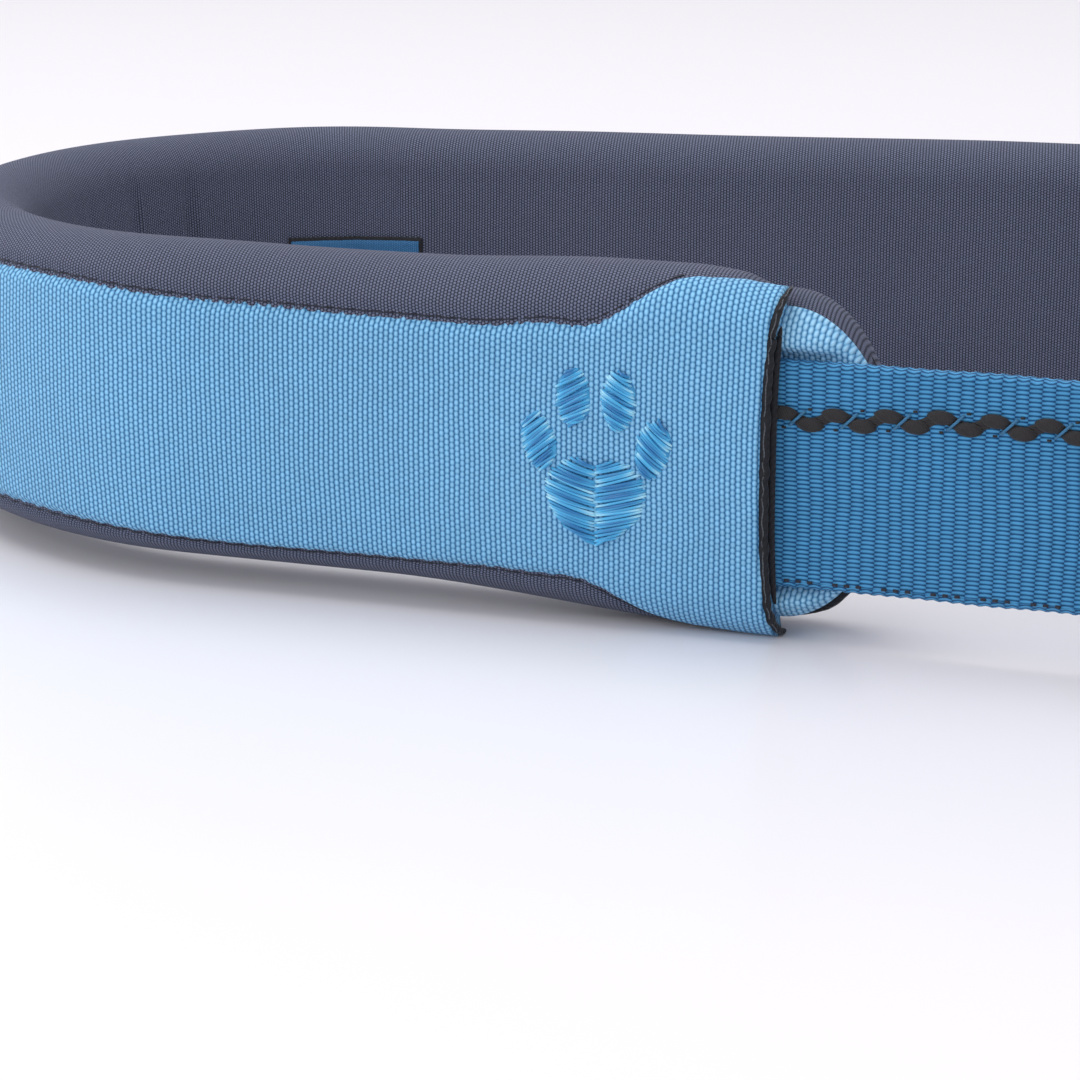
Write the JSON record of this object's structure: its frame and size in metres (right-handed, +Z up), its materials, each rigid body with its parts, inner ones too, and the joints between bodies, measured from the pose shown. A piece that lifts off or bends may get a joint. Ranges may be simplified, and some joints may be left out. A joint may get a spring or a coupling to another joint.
{
  "type": "padded dog collar",
  "caption": "Padded strap collar for a dog: a soft tunnel pad over a webbing strap with a side-release buckle, an adjusting slider and a leash ring.",
  "frame": {"origin": "middle of the whole collar's box, on the surface that its lower edge stands on", "axes": "+X along the loop towards the buckle, -Y is the side with the emblem, +Z up across the collar's width"},
  "size_m": [0.2064, 0.1482, 0.039],
  "materials": {
    "foam": "closed-cell foam, not seen",
    "liner_cloth": "charcoal stretch cloth, fine pique knit",
    "face_cloth": "light blue ribbed woven cloth",
    "black_binding": "black bound edge",
    "dark_thread": "dark sewing thread",
    "emblem_thread": "satin-stitched bright blue thread",
    "label_tape": "blue woven tape",
    "webbing": "mid blue ribbed webbing",
    "tracer_braid": "black braid",
    "steel": "brushed, slightly warm",
    "buckle_plastic": "black acetal, satin"
  },
  "bodies": {
    "collar": {"foam_core": "foam", "pad_liner": "liner_cloth", "face_panel": "face_cloth", "front_tongue": "face_cloth", "rear_tongue": "face_cloth", "front_tongue_piping": "black_binding", "rear_tongue_piping": "black_binding", "front_mouth_binding": "black_binding", "rear_mouth_binding": "black_binding", "upper_panel_seam": "dark_thread", "lower_panel_seam": "dark_thread", "paw_emblem": "emblem_thread", "inner_label": "label_tape", "strap": "webbing", "strap_return": "webbing", "strap_hem": "webbing", "hem_stitch": "dark_thread", "tracer_cord": "tracer_braid", "ring_keeper": "webbing", "keeper_bartacks": "dark_thread", "buckle_socket": "buckle_plastic"},
    "leash_ring": {"leash_ring": "steel"},
    "slider": {"slider": "steel", "slider_loop": "webbing"},
    "plug": {"buckle_plug": "buckle_plastic"},
    "upper_arm": {"upper_latch_arm": "buckle_plastic"},
    "lower_arm": {"lower_latch_arm": "buckle_plastic"}
  },
  "joints": [
    {"name": "ring_swing", "type": "hinge", "parent": "collar", "child": "leash_ring", "pos_m": [0.06384, 0.05031, 0.0186], "axis": [0, 0, 1], "range_deg": [-80, 80]},
    {"name": "slider_travel", "type": "slide", "parent": "collar", "child": "slider", "axis": [0.9962, -0.0872, 0], "range_m": [-0.022, 0]},
    {"name": "plug_play", "type": "slide", "parent": "collar", "child": "plug", "axis": [0, -1, 0], "range_m": [0, 0.0008]},
    {"name": "upper_arm_press", "type": "hinge", "parent": "plug", "child": "upper_arm", "pos_m": [0.09775, -0.01914, 0.0282], "axis": [-1, 0, 0], "range_deg": [0, 11], "stiffness_Nm_per_rad": 0.5},
    {"name": "lower_arm_press", "type": "hinge", "parent": "plug", "child": "lower_arm", "pos_m": [0.09775, -0.01914, 0.009], "axis": [1, 0, 0], "range_deg": [0, 11], "stiffness_Nm_per_rad": 0.5}
  ]
}
